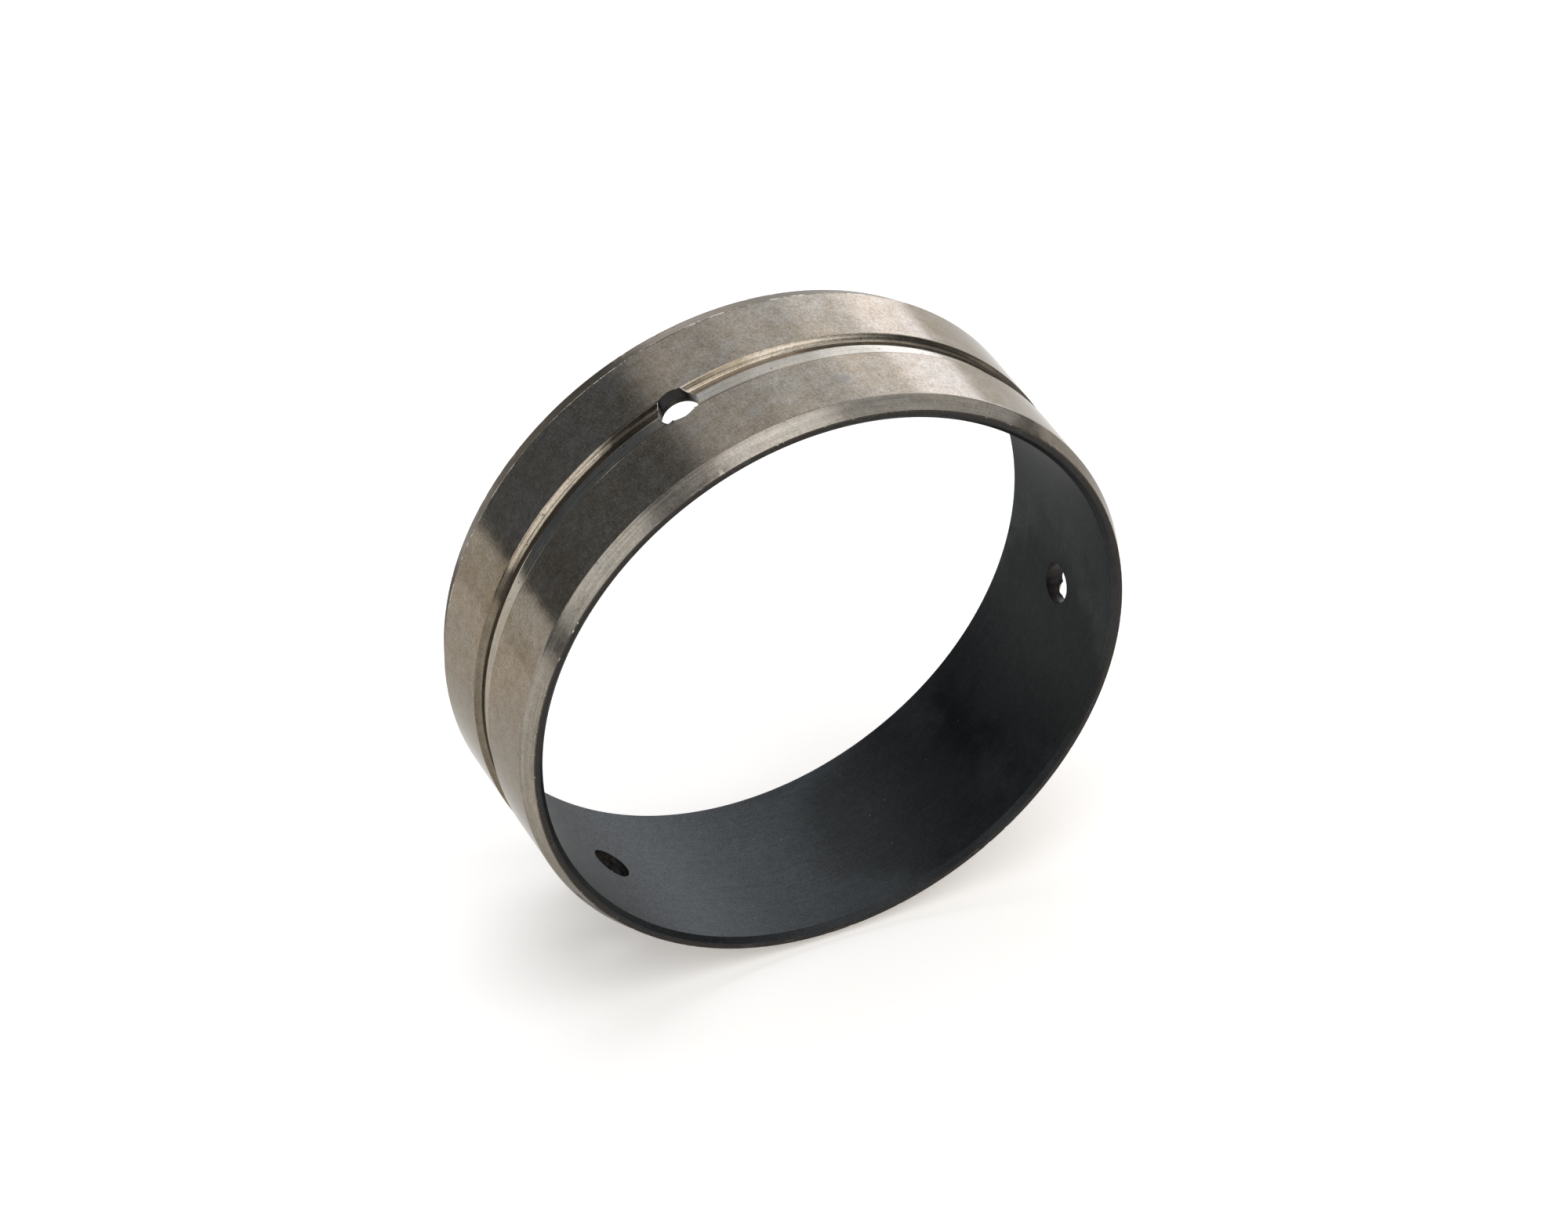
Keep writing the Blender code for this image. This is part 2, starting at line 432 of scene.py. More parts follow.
def around(radius, along, angle):
    """A point at a radius from the axis, at a turn from the top towards +X."""
    return Vector((radius * math.sin(angle), along, radius * math.cos(angle)))


def column_angle(column):
    """The oil holes lie on columns, the first of them on column 0."""
    return OIL_HOLE_ANGLES[0] + column * 2 * math.pi / COLUMNS


# Sections of the rings


def towards(start, end, distance):
    """The point at a distance from start on the way to end."""
    length = math.dist(start, end)
    share = distance / length
    return (start[0] + (end[0] - start[0]) * share, start[1] + (end[1] - start[1]) * share)


def round_corner(before, corner, after, size):
    """Rows that round a corner, with a supporting row on each side of the round."""
    start = towards(corner, before, size)
    end = towards(corner, after, size)
    rows = [towards(corner, before, size + ROUND_SUPPORT)]
    for step in range(ROUND_STEPS + 1):
        share = step / ROUND_STEPS
        first = (1 - share) ** 2
        middle = 2 * share * (1 - share)
        last = share ** 2
        rows.append(tuple(first * a + middle * b + last * c for a, b, c in zip(start, corner, end)))
    rows.append(towards(corner, after, size + ROUND_SUPPORT))
    return rows


def section(corners, rounds, zones):
    """Rows of (radius, along) through the corners, and the zone of the strip after each row.

    rounds gives each corner's round as (size, zone), or None, and zones the zone of each side.
    """
    rows = []
    strips = []
    for index, corner in enumerate(corners):
        if rounds[index]:
            size, zone = rounds[index]
            rows += round_corner(corners[index - 1], corner, corners[index + 1], size)
            strips += [zones[index - 1]] + [zone] * ROUND_STEPS + [zones[index]]
        else:
            rows.append(corner)
        if index + 1 == len(corners):
            break
        following = corners[index + 1]
        goal = following
        if rounds[index + 1]:
            goal = towards(following, corner, rounds[index + 1][0] + ROUND_SUPPORT)
        start = rows[-1]
        span = math.dist(start, goal)
        count = max(1, round(math.dist(corner, following) / ROW_SPACING))
        rows += [towards(start, goal, span * step / count) for step in range(1, count)]
        strips += [zones[index]] * count
    return rows, strips


def mirrored(corners, rounds, zones, middle=()):
    """A section's front half with the rear half added as its mirror image.

    middle gives the corner, round and zone of each corner between the two halves.
    """
    rear = [(radius, -along) for radius, along in corners[::-1]]
    corners = corners + [corner for corner, _, _ in middle] + rear
    rounds = rounds + [rounding for _, rounding, _ in middle] + rounds[::-1]
    zones = zones + [zone for _, _, zone in middle] + zones[-2::-1]
    return corners, rounds, zones


def backing_outside():
    half_groove = GROOVE_WIDTH / 2
    root = half_groove - GROOVE_WALL_RUN
    corners = [
        (BACKING_INNER_RADIUS, FRONT_END),
        (OUTER_RADIUS - LEAD_IN_DEPTH, FRONT_END),
        (OUTER_RADIUS, FRONT_END + LEAD_IN_LENGTH),
        (OUTER_RADIUS, -PATCH_REACH),
        (OUTER_RADIUS, -half_groove),
    ]
    rounds = [
        None,
        (END_EDGE_BREAK, "edge"),
        (LAND_EDGE_BREAK, "lead_in"),
        None,
        (SHOULDER_BREAK, "groove_wall"),
    ]
    zones = ["end_face", "lead_in", "land", "land", "groove_wall"]
    groove = [
        (FLOOR_STEP_START[0], -root, (GROOVE_ROOT, "groove_wall"), "groove_floor"),
        (*FLOOR_STEP_START, (FLOOR_STEP_BREAK, "groove_floor"), "root"),
        (*FLOOR_STEP_END, (FLOOR_STEP_BREAK, "root"), "root"),
        (FLOOR_STEP_END[0], root, (GROOVE_ROOT, "groove_wall"), "groove_wall"),
    ]
    middle = [((OUTER_RADIUS - depth, along), rounding, zone) for depth, along, rounding, zone in groove]
    rows, strips = section(*mirrored(corners, rounds, zones, middle))
    for index, (radius, along) in enumerate(rows[:-1]):
        on_edge = radius > OUTER_RADIUS - LAND_EDGE_BREAK / 2
        if strips[index] == "lead_in" and along > 0:
            strips[index] = "rear_edge" if on_edge else "rear_lead_in"
        if strips[index] == "lead_in" and on_edge:
            strips[index] = "land_edge"
        on_shoulder = radius > OUTER_RADIUS - SHOULDER_BREAK
        if strips[index] == "groove_wall" and along < 0 and on_shoulder:
            strips[index] = "root"
    return rows, strips


def plain_inside(radius, front):
    corners = [(radius, front), (radius, -PATCH_REACH)]
    return section(*mirrored(corners, [None] * 2, ["hidden"] * 2))


def hidden_outside(mouth_radius, radius, front):
    corners = [(mouth_radius, FRONT_END), (radius, front), (radius, -PATCH_REACH)]
    return section(*mirrored(corners, [None] * 3, ["hidden"] * 3))


def coat_inside():
    corners = [
        (COAT_MOUTH_RADIUS, FRONT_END),
        (BORE_RADIUS, FRONT_END + BORE_CHAMFER),
        (BORE_RADIUS, -PATCH_REACH),
    ]
    rounds = [None, (MOUTH_BREAK, "mouth"), None]
    return section(*mirrored(corners, rounds, ["mouth", "bore", "bore"]))


# Wear of the edges and of the oil holes


def turn_between(first, second):
    """The smaller turn between two angles."""
    return abs((first - second + math.pi) % (2 * math.pi) - math.pi)


def no_wear(*place):
    return 0.0


def ragged(hole, turn, grain):
    """Noise round the rim of an oil hole, from -1 to 1, different for each hole."""
    place = Vector((math.cos(turn) * grain, math.sin(turn) * grain, hole * HOLE_NOISE_STEP))
    return noise.noise(place)


def ear(turn):
    """1 where the rim of an oil hole crosses a shoulder of the groove, and 0 away from there."""
    crossing = math.asin(GROOVE_WIDTH / 2 / OIL_HOLE_RADIUS)
    crossings = (crossing, -crossing, math.pi - crossing, crossing - math.pi)
    gap = min(turn_between(turn, other) for other in crossings)
    return math.exp(-((gap / EAR_SPREAD) ** 2))


def burr(hole, turn, reach):
    """How far the drill raised the steel near the rim of an oil hole."""
    share = max(BURR_LEAST, BURR_SHARE + BURR_SWING * ragged(hole, turn, BURR_GRAIN))
    height = BURR_HEIGHT * share + EAR_HEIGHT * ear(turn)
    return height * math.exp(-reach / BURR_WIDTH)


def burr_lip(hole, turn):
    """How far the torn rim of an oil hole leans in over the hole."""
    return BURR_LIPS[hole] * max(0.0, LIP_SWING * ragged(hole, turn, LIP_GRAIN) - LIP_GAP)


def coat_rim(hole, turn, reach):
    """How far the coat is worn back at the rim of an oil hole."""
    return COAT_RIM_BREAK * math.exp(-reach / BURR_WIDTH)


def nick_edges():
    """Edges of the backing that carry nicks, each with the direction into the steel."""
    front = [
        ((OUTER_RADIUS - LEAD_IN_DEPTH, FRONT_END), END_EDGE_INWARD),
        ((OUTER_RADIUS, -GROOVE_WIDTH / 2), SHOULDER_INWARD),
    ]
    rear = [((radius, -along), (inward, -onward)) for (radius, along), (inward, onward) in front]
    return front + rear


def nick_depths(chance):
    """Depth of the nicks along one edge at each column."""
    depths = [0.0] * COLUMNS
    least, most = NICK_DEPTH
    for _ in range(NICKS_PER_EDGE):
        middle = chance.uniform(0, COLUMNS)
        half_length = chance.uniform(*NICK_HALF_LENGTH) / COLUMN_STEP
        depth = least + (most - least) * chance.random() ** NICK_DEPTH_POWER
        for column in range(math.ceil(middle - half_length), math.floor(middle + half_length) + 1):
            share = 1 - ((column - middle) / half_length) ** 2
            depths[column % COLUMNS] = max(depths[column % COLUMNS], depth * share)
    return depths


def make_wear(rows):
    """A function that gives the place of a row of the backing at a column, with the nicks cut in."""
    chance = random.Random(NICK_SEED)
    edges = [(corner, inward, nick_depths(chance)) for corner, inward in nick_edges()]
    near = []
    for row in rows:
        found = None
        for corner, inward, depths in edges:
            weight = 1 - math.dist(row, corner) / NICK_REACH
            if weight > 0:
                found = (weight, inward, depths)
        near.append(found)

    def wear(row, column):
        radius, along = rows[row]
        if near[row] is None:
            return radius, along
        weight, (inward, onward), depths = near[row]
        cut = weight * depths[column]
        return radius + inward * cut, along + onward * cut

    return wear


# Meshes of the rings


def nearest_angle(angles, turn):
    gaps = [turn_between(angle, turn) for angle in angles]
    return gaps.index(min(gaps))


def linked(indices):
    """Edges from each point of a line to the next."""
    return list(zip(indices, indices[1:]))


class Skin:
    """One side of a ring, given by its rows and the zone of the strip after each row.

    lift raises the skin near an oil hole, and lip leans the hole's rim in.
    """

    def __init__(self, rows, strips, outward, lift=no_wear, lip=no_wear):
        self.rows = rows
        self.strips = strips
        self.outward = outward
        self.lift = lift
        self.lip = lip
        places = [along for _, along in rows]
        self.first = places.index(-PATCH_REACH)
        self.last = places.index(PATCH_REACH)
        self.patch_rows = rows[self.first:self.last + 1]
        self.patch_strips = strips[self.first:self.last]

    def radius_at(self, along):
        """Radius of the skin at a place along the axis, between its patch rows."""
        rows = self.patch_rows
        for (first, start), (second, end) in zip(rows, rows[1:]):
            if start <= along <= end:
                return first + (second - first) * (along - start) / (end - start)
        return rows[0][0] if along < rows[0][1] else rows[-1][0]

    def zone_at(self, along):
        rows = self.patch_rows
        for (_, start), (_, end), zone in zip(rows, rows[1:], self.patch_strips):
            if start <= along <= end:
                return zone
        return self.patch_strips[0]

    def rim_angles(self):
        """Turns round an oil hole, with one wherever a row of the skin crosses its rim."""
        crossings = []
        for _, along in self.patch_rows:
            if abs(along) < OIL_HOLE_RADIUS:
                turn = math.asin(along / OIL_HOLE_RADIUS)
                crossings += [turn % (2 * math.pi), (math.pi - turn) % (2 * math.pi)]
        step = 2 * math.pi / RIM_STEPS
        clear = []
        for index in range(RIM_STEPS):
            turn = index * step
            if all(turn_between(turn, other) > step * RIM_STEPS_CLEAR for other in crossings):
                clear.append(turn)
        return sorted(clear + crossings)

    def unrolled(self, reach, turn):
        """Where a point of a circle round an oil hole lies on the unrolled skin, in millimetres."""
        along = reach * math.sin(turn)
        side = math.asin(reach * math.cos(turn) / self.radius_at(along)) * OUTER_RADIUS
        return Vector((side / MM, along / MM))

    def rolled(self, point):
        """Radius, place along the axis and turn from an oil hole of a point of the unrolled skin.

        The last two values are its distance from the hole's rim and its turn round the hole.
        """
        along = point.y * MM
        radius = self.radius_at(along)
        side = point.x * MM / OUTER_RADIUS
        across = radius * math.sin(side)
        reach = math.hypot(across, along) - OIL_HOLE_RADIUS
        return radius, along, side, reach, math.atan2(along, across)

    def patch_plan(self, angles):
        """Points and edges of a patch on the unrolled skin, the first points those of the rim.

        Also gives the column, counted from the hole, and the row of each point on the patch's border.
        """
        points = []
        edges = []
        border = {}
        for reach in (0.0,) + RIM_RINGS:
            first = len(points)
            points += [self.unrolled(OIL_HOLE_RADIUS + reach, turn) for turn in angles]
            edges += linked([*range(first, len(points)), first])
        last_row = len(self.patch_rows) - 1
        for row, (radius, along) in enumerate(self.patch_rows):
            left = []
            right = []
            for column in range(-PATCH_COLUMNS, PATCH_COLUMNS + 1):
                side = column * COLUMN_STEP
                on_border = row in (0, last_row) or abs(column) == PATCH_COLUMNS
                reach = math.hypot(radius * math.sin(side / OUTER_RADIUS), along)
                if not on_border and reach < OIL_HOLE_RADIUS + RIM_CLEAR:
                    continue
                if on_border:
                    border[len(points)] = (column, self.first + row)
                half = left if column < 0 else right
                half.append(len(points))
                points.append(Vector((side / MM, along / MM)))
            if abs(along) < OIL_HOLE_RADIUS:
                turn = math.asin(along / OIL_HOLE_RADIUS)
                left.append(nearest_angle(angles, math.pi - turn))
                right.insert(0, nearest_angle(angles, turn))
                edges += linked(left) + linked(right)
            else:
                edges += linked(left + right)
        for end in (-PATCH_COLUMNS, PATCH_COLUMNS):
            edges += linked([index for index, (column, _) in border.items() if column == end])
        return points, edges, border


def hole_patch(shape, grid, skin, hole, angles, materials):
    """Fill a skin's patch round an oil hole, and return the vertices of the hole's rim in order.

    grid holds the skin's vertices by column and row, and the patch keeps those on its border.
    """
    centre = HOLE_COLUMNS[hole]
    hole_angle = column_angle(centre)
    out = around(1.0, 0.0, hole_angle)
    points, edges, border = skin.patch_plan(angles)
    made, _, triangles, origins, _, _ = delaunay_2d_cdt(points, edges, [], 0, MERGE_DISTANCE)
    vertices = []
    rim = {}
    for point, origin in zip(made, origins):
        on_border = [border[index] for index in origin if index in border]
        on_rim = [index for index in origin if index < len(angles)]
        if on_border:
            column, row = on_border[0]
            vertex = grid[(centre + column) % COLUMNS][row]
        else:
            radius, along, side, reach, turn = skin.rolled(point)
            place = around(radius + skin.lift(hole, turn, max(0.0, reach)), along, hole_angle + side)
            if on_rim:
                to_axis = out * place.dot(out) - place
                place += to_axis.normalized() * skin.lip(hole, turn)
            vertex = shape.verts.new(place)
        vertices.append(vertex)
        for index in on_rim:
            rim[index] = vertex
    for triangle in triangles:
        middle = sum((made[index] for index in triangle), Vector((0.0, 0.0))) / 3
        _, along, _, reach, _ = skin.rolled(middle)
        if reach < 0:
            continue
        corners = [vertices[index] for index in triangle]
        face = shape.faces.new(corners if skin.outward else corners[::-1])
        on_rim = skin.outward and reach < RIM_BRIGHT and "rim" in materials
        face.material_index = materials["rim" if on_rim else skin.zone_at(along)]
    return [rim[index] for index in range(len(angles))]


def hole_wall(shape, outer_rim, inner_rim, angles, hole_angle, mark_depth, material):
    """Join the two rims of an oil hole by a drilled wall, with fine drill marks."""
    out = around(1.0, 0.0, hole_angle)
    side = around(1.0, 0.0, hole_angle + math.pi / 2)
    rows = [outer_rim]
    for step in range(1, WALL_STEPS):
        share = step / WALL_STEPS
        row = []
        for turn, top, bottom in zip(angles, outer_rim, inner_rim):
            height = top.co.dot(out) * (1 - share) + bottom.co.dot(out) * share
            level = height / DRILL_MARK_SPACING + hole_angle
            mark = noise.noise(Vector((math.cos(turn), math.sin(turn), level)))
            reach = OIL_HOLE_RADIUS + mark_depth * mark
            along = Vector((0.0, reach * math.sin(turn), 0.0))
            row.append(shape.verts.new(side * reach * math.cos(turn) + along + out * height))
        rows.append(row)
    rows.append(inner_rim)
    count = len(angles)
    for upper, lower in zip(rows, rows[1:]):
        for index in range(count):
            following = (index + 1) % count
            face = shape.faces.new((upper[index], upper[following], lower[following], lower[index]))
            face.material_index = material


class RingLoop:
    """The closed loop of rows round a ring's section: the outside skin's, then the inside's backwards."""

    def __init__(self, outside, inside):
        self.outside = outside
        self.inside = inside
        self.rows = outside.rows + inside.rows[::-1]
        self.zones = outside.strips + [inside.strips[-1]] + inside.strips[::-1] + [outside.strips[0]]

    def in_patch(self, column, row, margin):
        """True for a face that a patch replaces, or with a margin of 1 for such a vertex."""
        width = 2 * PATCH_COLUMNS - margin
        if all((column - hole + PATCH_COLUMNS - margin) % COLUMNS >= width for hole in HOLE_COLUMNS):
            return False
        if row < len(self.outside.rows):
            return self.outside.first + margin <= row < self.outside.last
        inside_row = len(self.rows) - 2 + margin - row
        return self.inside.first + margin <= inside_row < self.inside.last


def ring_grid(shape, loop, wear):
    """Vertices of a ring by column and row of its loop, with None where a patch replaces them."""
    grid = []
    for column in range(COLUMNS):
        angle = column_angle(column)
        line = []
        for row, (radius, along) in enumerate(loop.rows):
            if loop.in_patch(column, row, 1):
                line.append(None)
                continue
            if wear and row < len(loop.outside.rows):
                radius, along = wear(row, column)
            line.append(shape.verts.new(around(radius, along, angle)))
        grid.append(line)
    return grid


def ring_strips(shape, loop, grid, materials):
    """Faces between the rows of a ring, but for those that a patch replaces."""
    for column, line in enumerate(grid):
        following = grid[(column + 1) % COLUMNS]
        for row, zone in enumerate(loop.zones):
            if loop.in_patch(column, row, 0):
                continue
            above = (row + 1) % len(loop.rows)
            face = shape.faces.new((line[row], following[row], following[above], line[above]))
            face.material_index = materials[zone]


def make_ring(name, outside, inside, finishes, mark_depth, wear=None):
    """A ring between an outside and an inside skin, pierced by the oil holes.

    finishes maps each zone to its material, the walls of the holes being of the zone "hidden".
    mark_depth is that of the drill marks, and wear moves the vertices of the outside rows.
    """
    shape = bmesh.new()
    materials = {zone: index for index, zone in enumerate(finishes)}
    loop = RingLoop(outside, inside)
    grid = ring_grid(shape, loop, wear)
    ring_strips(shape, loop, grid, materials)
    count = len(outside.rows)
    outside_grid = [line[:count] for line in grid]
    inside_grid = [line[count:][::-1] for line in grid]
    angles = outside.rim_angles()
    for hole, centre in enumerate(HOLE_COLUMNS):
        outer_rim = hole_patch(shape, outside_grid, outside, hole, angles, materials)
        inner_rim = hole_patch(shape, inside_grid, inside, hole, angles, materials)
        hole_angle = column_angle(centre)
        hole_wall(shape, outer_rim, inner_rim, angles, hole_angle, mark_depth, materials["hidden"])
    bmesh.ops.recalc_face_normals(shape, faces=shape.faces)
    mesh = bpy.data.meshes.new(name)
    shape.to_mesh(mesh)
    shape.free()
    mesh.shade_smooth()
    mesh.set_sharp_from_angle(angle=SHARP_EDGE_ANGLE)
    for material in finishes.values():
        mesh.materials.append(material)
    ring = bpy.data.objects.new(name, mesh)
    bpy.context.collection.objects.link(ring)
    return ring


# Materials


class Painter:
    """Adds nodes to one node tree, with each input given as a value or as another node's output."""

    def __init__(self, tree):
        self.tree = tree

    def feed(self, value, socket):
        if isinstance(value, bpy.types.NodeSocket):
            self.tree.links.new(value, socket)
        elif socket.type == "RGBA":
            socket.default_value = (*value, 1.0)
        else:
            socket.default_value = value

    def shade(self, values):
        """Feed values to the sockets of a material's shader by name."""
        sockets = self.tree.nodes["Principled BSDF"].inputs
        for name, value in values.items():
            self.feed(value, sockets[name])

    def node(self, kind, inputs, **settings):
        made = self.tree.nodes.new(kind)
        for key, value in settings.items():
            setattr(made, key, value)
        for key, value in inputs.items():
            self.feed(value, made.inputs[key])
        return made

    def math(self, operation, first, second=0.0):
        return self.node("ShaderNodeMath", {0: first, 1: second}, operation=operation).outputs[0]

    def times(self, first, second):
        return self.math("MULTIPLY", first, second)

    def vector(self, operation, inputs):
        return self.node("ShaderNodeVectorMath", inputs, operation=operation).outputs

    def remap(self, value, low, high, start=0.0, end=1.0):
        """A smooth step from start to end as the value goes from low to high."""
        inputs = {"Value": value, "From Min": low, "From Max": high, "To Min": start, "To Max": end}
        return self.node("ShaderNodeMapRange", inputs, interpolation_type="SMOOTHSTEP").outputs["Result"]

    def mix(self, share, first, second):
        made = self.node("ShaderNodeMix", {}, data_type="RGBA")
        for value, index in zip((share, first, second), MIX_INPUTS):
            self.feed(value, made.inputs[index])
        return made.outputs[MIX_OUTPUT]

    def scale(self, colour, value):
        """A colour times a value."""
        return self.vector("SCALE", {0: colour, "Scale": value})["Vector"]


class Surface(Painter):
    """A material made by a recipe, with places on its piece in millimetres and the recipe's noises."""

    def __init__(self, name, recipe):
        self.material = bpy.data.materials.new(name)
        self.material.use_nodes = True
        super().__init__(self.material.node_tree)
        self.recipe = recipe
        self.place = self.node("ShaderNodeTexCoord", {}).outputs["Object"]
        self.place = self.stretched(1 / MM, 1 / MM)
        self.fields = {field: self.noise(self.place, *values) for field, values in recipe.noises.items()}
        for field, lengths in recipe.drawn.items():
            self.fields[field] = self.drawn(*lengths)

    def stretched(self, across, along):
        """Places scaled along the ring's axis and across it."""
        return self.vector("MULTIPLY", {0: self.place, 1: (across, along, across)})["Vector"]

    def noise(self, place, scale, detail, roughness):
        inputs = {"Vector": place, "Scale": scale, "Detail": detail, "Roughness": roughness}
        return self.node("ShaderNodeTexNoise", inputs).outputs["Fac"]

    def drawn(self, across, along):
        """A noise drawn out to a length round the ring and a length along its axis, in millimetres."""
        return self.noise(self.stretched(1 / across, 1 / along), *DRAWN_NOISE)

    def total(self, weights):
        """The sum of some noises times their weights."""
        found = None
        for field, weight in weights.items():
            part = self.times(self.fields[field], weight)
            found = part if found is None else self.math("ADD", found, part)
        return found

    def level(self, swings, middle):
        """A value round a middle one, moved by some noises times their swings."""
        return self.math("ADD", self.total(swings), middle - sum(swings.values()) / 2)

    def base(self, first, second, contrast=1.0):
        """Two colours mixed by the recipe's tone, with its swings of brightness times a contrast."""
        tone = self.remap(self.total(self.recipe.tone), *self.recipe.tone_limits)
        swings = {field: swing * contrast for field, swing in self.recipe.swing.items()}
        return self.scale(self.mix(tone, first, second), self.level(swings, 1.0))

    def spread(self, place, centre, size, broken, edge):
        """A patch of a size round a centre, as 1 inside and 0 outside, with its edge broken by a noise."""
        break_up, start, end = edge
        distance = self.vector("DISTANCE", {0: place, 1: centre})["Value"]
        distance = self.math("ADD", distance, self.times(broken, break_up * size))
        return self.remap(distance, start * size, end * size, 1.0, 0.0)

    def cover(self, angle, size, strength, place=None):
        """A patch of a size round an angle, as its strength inside and 0 outside."""
        centre = around(OUTER_RADIUS / MM, 0.0, math.radians(angle))
        inside = self.spread(place or self.place, centre, size, self.fields["cloud"], COVER_EDGE)
        return self.times(inside, strength)

    def film(self, colour, tints, place=None):
        """A colour tinted in some patches, most of them painted shade."""
        for angle, size, tint in tints:
            tinted = self.vector("MULTIPLY", {0: colour, 1: tint})["Vector"]
            colour = self.mix(self.cover(angle, size, 1.0, place), colour, tinted)
        return colour

    def speckled(self, colour, spacing, size, share, strength, speck_colour):
        """A colour with round specks over it in a share of cells, and where the specks are."""
        cells = self.node("ShaderNodeTexVoronoi", {"Vector": self.place, "Scale": 1 / spacing}).outputs
        chance = self.node("ShaderNodeSeparateColor", {"Color": cells["Color"]}).outputs["Red"]
        radius = size / spacing
        speck = self.remap(cells["Distance"], SPECK_FULL * radius, radius, 1.0, 0.0)
        specks = self.times(self.math("LESS_THAN", chance, share), speck)
        return self.mix(self.times(specks, strength), colour, speck_colour), specks

    def finish(self, colour, roughness, height, bump, others):
        """The material, once its shader has these values and those of some other sockets."""
        inputs = {"Height": height, "Distance": bump}
        normal = self.node("ShaderNodeBump", inputs).outputs["Normal"]
        self.shade({"Base Color": colour, "Roughness": roughness, "Normal": normal, **others})
        return self.material


def land_steel():
    """Tumbled satin steel with brown stains, fine grain, faint lines round the ring, darker bands and
    patches of painted shade.
    """
    paint = Surface("land_steel", LAND)
    # Patches of painted shade that dim the land's reflections
    colour = paint.film(paint.base(LAND.light, LAND.dark), STEEL_PAINTED_SHADES)
    colour = paint.film(colour, LAND_BANDS, paint.stretched(1.0, 0.0))
    for angle, along, size, strength, stain_colour in LAND_STAINS:
        centre = around(OUTER_RADIUS / MM, along, math.radians(angle))
        stain = paint.spread(paint.place, centre, size, paint.fields["mottle"], STAIN_EDGE)
        colour = paint.mix(paint.times(stain, strength), colour, stain_colour)
    colour, _ = paint.speckled(colour, *LAND.spots)
    roughness = paint.level(LAND.roughness_swing, LAND.roughness)
    metal = paint.remap(paint.fields["fine_grain"], *LAND.metal_limits)
    others = {"Metallic": metal, "Specular Tint": STEEL_GRAZING}
    return paint.finish(colour, roughness, paint.total(LAND.height), LAND.bump, others)


def turned_steel(name, finish, tints, grazing=STEEL_GRAZING, matt_film=None, oil=None):
    """Turned steel with fine tool lines round the ring, brown tones, pits and patches of painted shade, on
    the groove's root also a painted highlight.

    matt_film gives the angle and size of a patch that dulls the steel and the roughness it adds, and oil
    the angle and size of a patch of painted shade and the share of the mirror light that it leaves at a
    grazing view.
    """
    paint = Surface(name, TURNED)
    wide_spacing = TURNED.wide_line_spacing * finish.line_spacing
    paint.fields["lines"] = paint.drawn(TURNED.line_length, finish.line_spacing)
    paint.fields["wide_lines"] = paint.drawn(TURNED.wide_line_length, wide_spacing)
    # Tinted patches: painted shade, and on the groove's root a painted highlight
    colour = paint.film(paint.base(finish.light, finish.dark, finish.contrast), tints)
    colour, paint.fields["pits"] = paint.speckled(colour, *TURNED.pits)
    roughness = paint.level(TURNED.roughness_swing, finish.roughness)
    if matt_film:
        roughness = paint.math("ADD", roughness, paint.cover(*matt_film))
    # Painted shade of the shadow that the lead-in mirrors near the floor, as less mirror light at a
    # grazing view
    if oil:
        angle, size, shaded_grazing = oil
        grazing = paint.mix(paint.cover(angle, size, 1.0), grazing, shaded_grazing)
    others = {"Metallic": 1.0, "Specular Tint": grazing}
    return paint.finish(colour, roughness, paint.total(TURNED.height), finish.line_height * MM, others)


def worn_steel(name, finish):
    """Edges in stained steel, rubbed bright in places over a share of their length."""
    paint = Surface(name, WORN)
    start = WORN.rubbed_start - WORN.rubbed_range * finish.bright_share
    rubbed = paint.remap(paint.total(WORN.rubbed), start, start + WORN.rubbed_fade)
    colour = paint.mix(rubbed, finish.dark, WORN.bright)
    roughest = finish.roughness + WORN.roughness_swing
    smoothest = finish.roughness - WORN.roughness_swing
    roughness = paint.remap(paint.fields["wear"], *WORN.roughness_limits, roughest, smoothest)
    others = {"Metallic": 1.0, "Specular Tint": DULL_GRAZING}
    return paint.finish(colour, roughness, paint.fields["grain"], WORN.bump, others)


def end_face_steel():
    """Dark burnt end face with rubbed scuffs and fine grain."""
    paint = Surface("end_face_steel", END_FACE)
    colour = paint.base(END_FACE.light, END_FACE.dark)
    scuffs = paint.remap(paint.total(END_FACE.scuffs), *END_FACE.scuff_limits)
    scuffed = paint.times(scuffs, END_FACE.scuff_strength)
    colour = paint.mix(scuffed, colour, END_FACE.scuff_colour)
    roughness = paint.remap(scuffs, *END_FACE.roughness_limits)
    others = {"Specular IOR Level": END_FACE.specular}
    return paint.finish(colour, roughness, paint.fields["grain"], END_FACE.bump, others)


def drilled_metal(name, recipe, tints=()):
    """Walls of the oil holes and hidden sides, dark with baked oil that has browned in patches."""
    paint = Surface(name, recipe)
    marks = paint.fields[recipe.marks]
    colour = paint.film(paint.base(recipe.dark, recipe.brown), tints)
    roughness = paint.remap(marks, *recipe.roughness_limits)
    others = {"Metallic": recipe.metal, "Specular IOR Level": recipe.specular}
    return paint.finish(colour, roughness, marks, recipe.bump, others)


